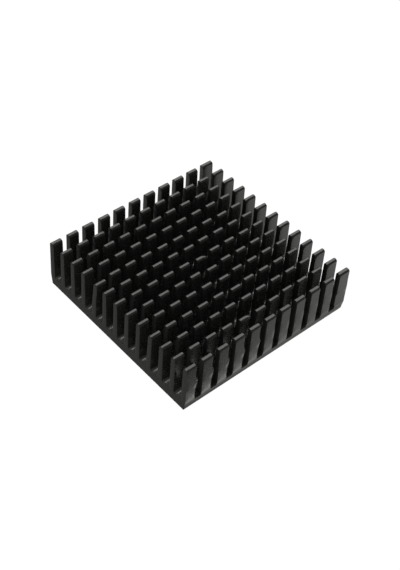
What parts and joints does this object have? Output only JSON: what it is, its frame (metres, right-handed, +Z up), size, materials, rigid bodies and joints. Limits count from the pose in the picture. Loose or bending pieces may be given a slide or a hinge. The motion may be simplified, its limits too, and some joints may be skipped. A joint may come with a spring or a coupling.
{
  "type": "pin fin heat sink",
  "caption": "Low square heat sink: a thin flat base plate carrying a grid of upright rectangular pins, with open channels both ways.",
  "frame": {"origin": "middle of the flat underside", "axes": "+X along the extruded fins, +Y across the fins, +Z up from the underside towards the pin tips"},
  "size_m": [0.0404, 0.0404, 0.0109],
  "materials": {
    "black_anodised": "black anodised aluminium, satin on the extruded faces and finely sawn on the cut faces"
  },
  "bodies": {
    "root": {"heat_sink": "black_anodised"}
  },
  "joints": []
}
